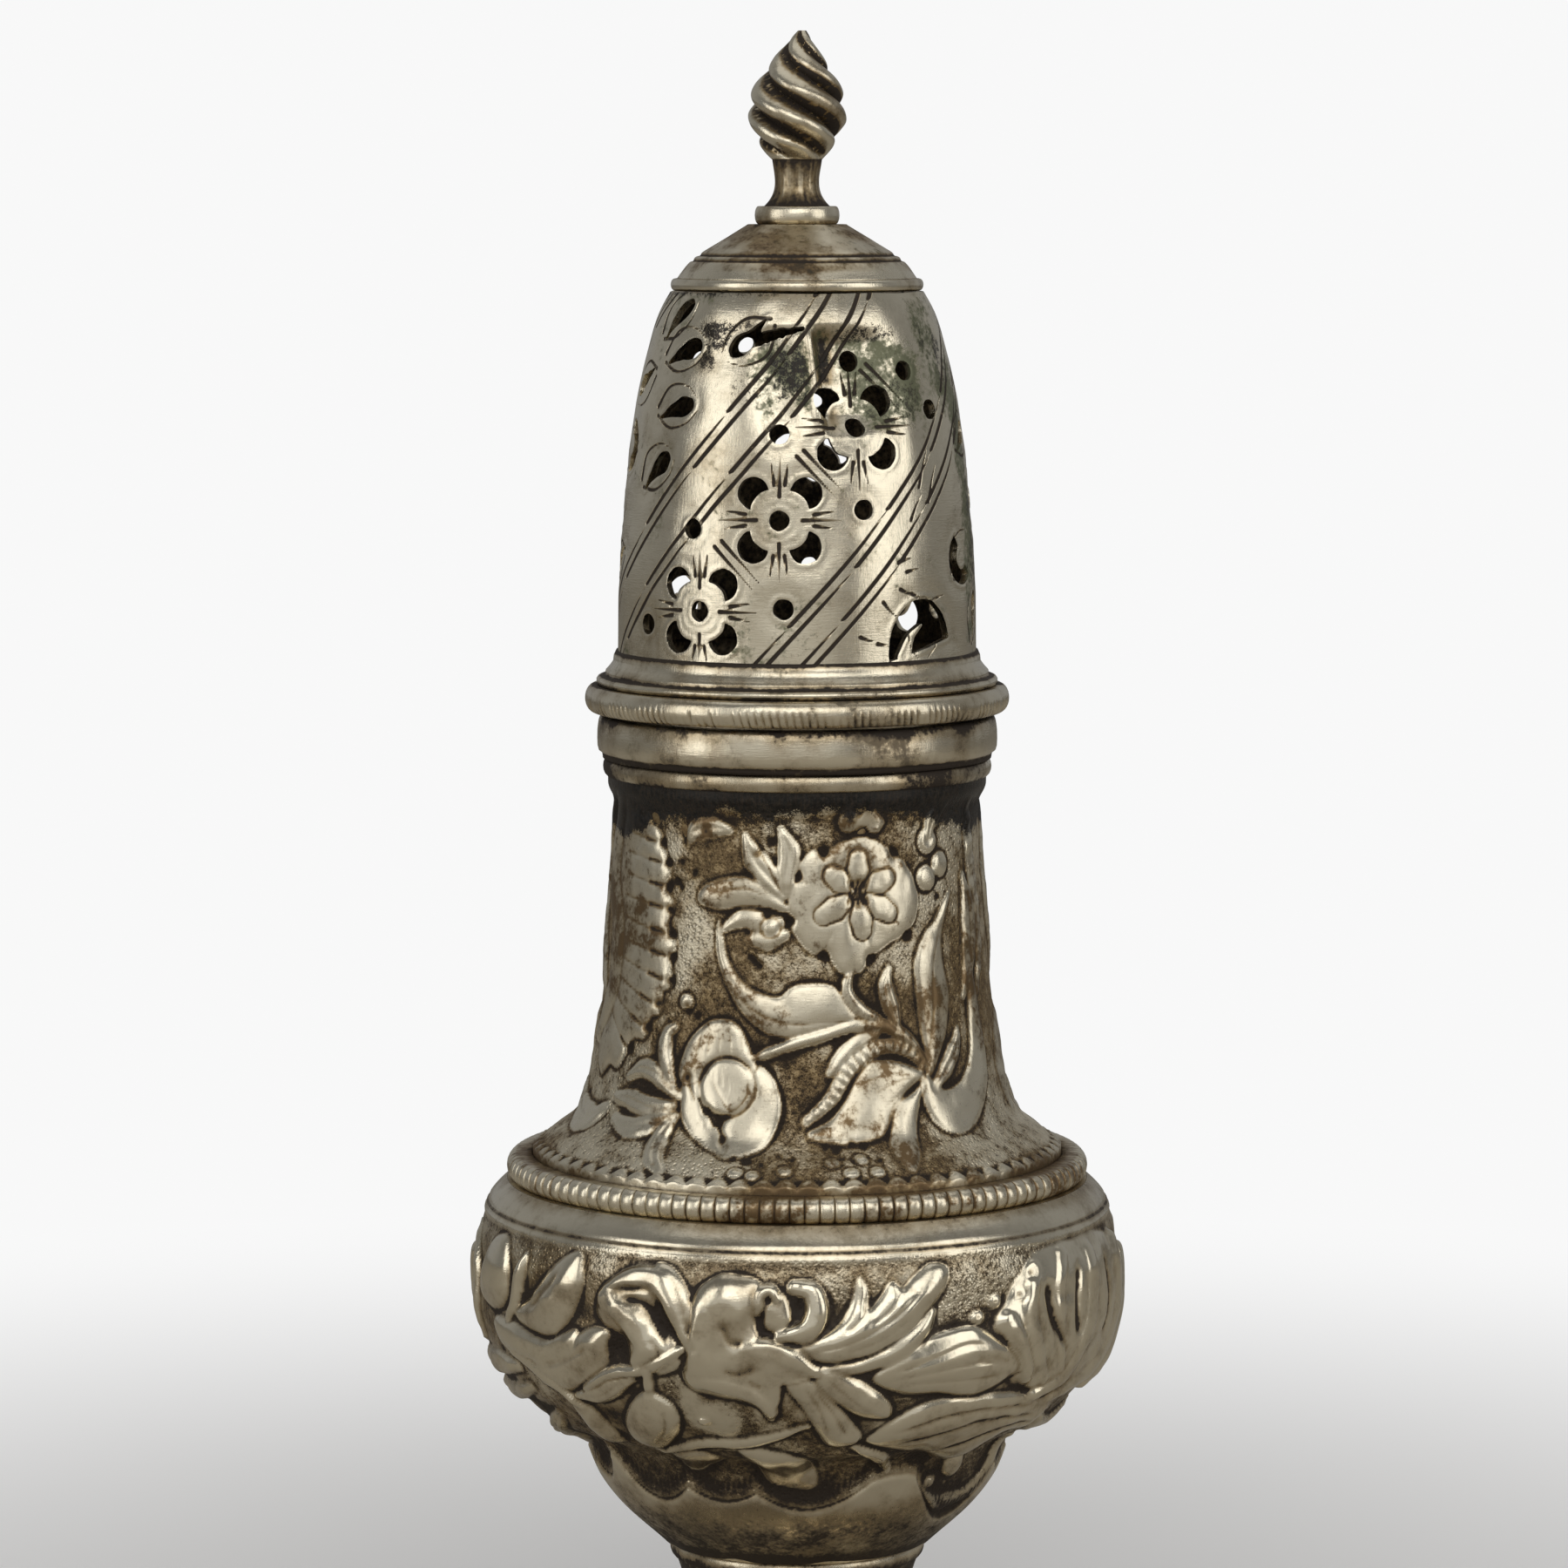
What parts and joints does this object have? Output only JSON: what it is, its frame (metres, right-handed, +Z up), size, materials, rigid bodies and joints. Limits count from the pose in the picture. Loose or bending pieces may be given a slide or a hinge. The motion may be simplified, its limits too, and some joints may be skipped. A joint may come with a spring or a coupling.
{
  "type": "sugar caster",
  "caption": "Silver baluster sugar caster: chased bowl and neck on a pedestal foot, with a pierced pull-off dome cover and a twisted flame finial.",
  "frame": {"origin": "middle of the ring the foot stands on", "axes": "+Z up the axis to the finial's tip; -Y is the front of the picture"},
  "size_m": [0.056, 0.056, 0.146],
  "materials": {
    "plain_silver": "old sterling silver, polished, with brown tarnish in the joints",
    "chased_silver": "old sterling silver, chased in relief, black-brown tarnish in the hollows",
    "pierced_silver": "old sterling silver, pierced and engraved, green corrosion at the seams",
    "cast_silver": "old cast silver, dark in the grooves"
  },
  "bodies": {
    "body": {"foot_rim_wire": "plain_silver", "foot": "plain_silver", "foot_collar": "plain_silver", "bowl": "chased_silver", "girdle_wire": "plain_silver", "neck": "chased_silver", "lip_reed": "plain_silver", "lip_band": "plain_silver"},
    "cover": {"cover_sleeve": "plain_silver", "cover_edge_wire": "plain_silver", "cover_moulding": "plain_silver", "pierced_dome": "pierced_silver", "cap_rim_wire": "plain_silver", "dome_cap": "pierced_silver", "finial_collar": "cast_silver", "finial": "cast_silver"}
  },
  "joints": [
    {"name": "cover_lift", "type": "slide", "parent": "body", "child": "cover", "axis": [0, 0, 1], "range_m": [0, 0.03]}
  ]
}
